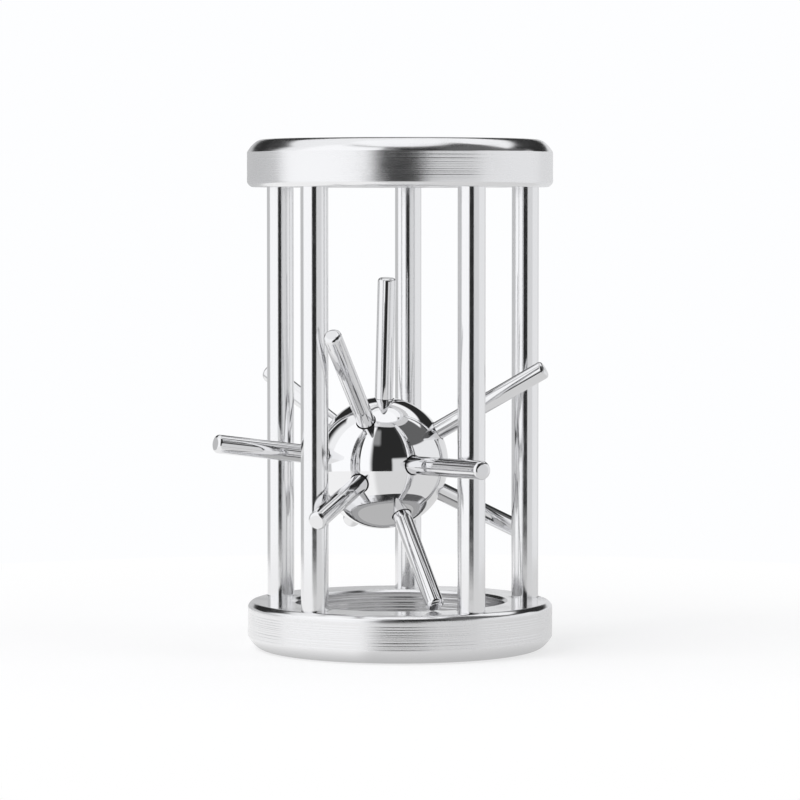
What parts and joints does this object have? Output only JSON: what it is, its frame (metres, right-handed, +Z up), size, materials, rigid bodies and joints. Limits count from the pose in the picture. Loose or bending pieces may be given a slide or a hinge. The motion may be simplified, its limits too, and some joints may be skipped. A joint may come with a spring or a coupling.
{
  "type": "caged ball puzzle",
  "caption": "Disentanglement puzzle: a spiked steel ball held loose inside a cage of thick end rings and upright round bars.",
  "frame": {"origin": "centre of the bottom ring's lower face", "axes": "+Z up along the cage's axis, -Y towards the viewer's side of the cage"},
  "size_m": [0.0496, 0.0528, 0.075],
  "materials": {
    "ring_steel": "fine-turned satin sides, polished faces",
    "bar_chrome": "mirror",
    "ball_chrome": "mirror",
    "pin_chrome": "polished"
  },
  "bodies": {
    "cage": {"bottom_ring": "ring_steel", "top_ring": "ring_steel", "bar_1": "bar_chrome", "bar_2": "bar_chrome", "bar_3": "bar_chrome", "bar_4": "bar_chrome", "bar_5": "bar_chrome"},
    "spiked_ball": {"ball": "ball_chrome", "pin_1": "pin_chrome", "pin_2": "pin_chrome", "pin_3": "pin_chrome", "pin_4": "pin_chrome", "pin_5": "pin_chrome", "pin_6": "pin_chrome", "pin_7": "pin_chrome", "pin_8": "pin_chrome", "pin_9": "pin_chrome", "pin_10": "pin_chrome"}
  },
  "joints": [
    {"name": "ball_lift", "type": "slide", "parent": "cage", "child": "spiked_ball", "axis": [0, 0, 1], "range_m": [0, 0.02]}
  ]
}
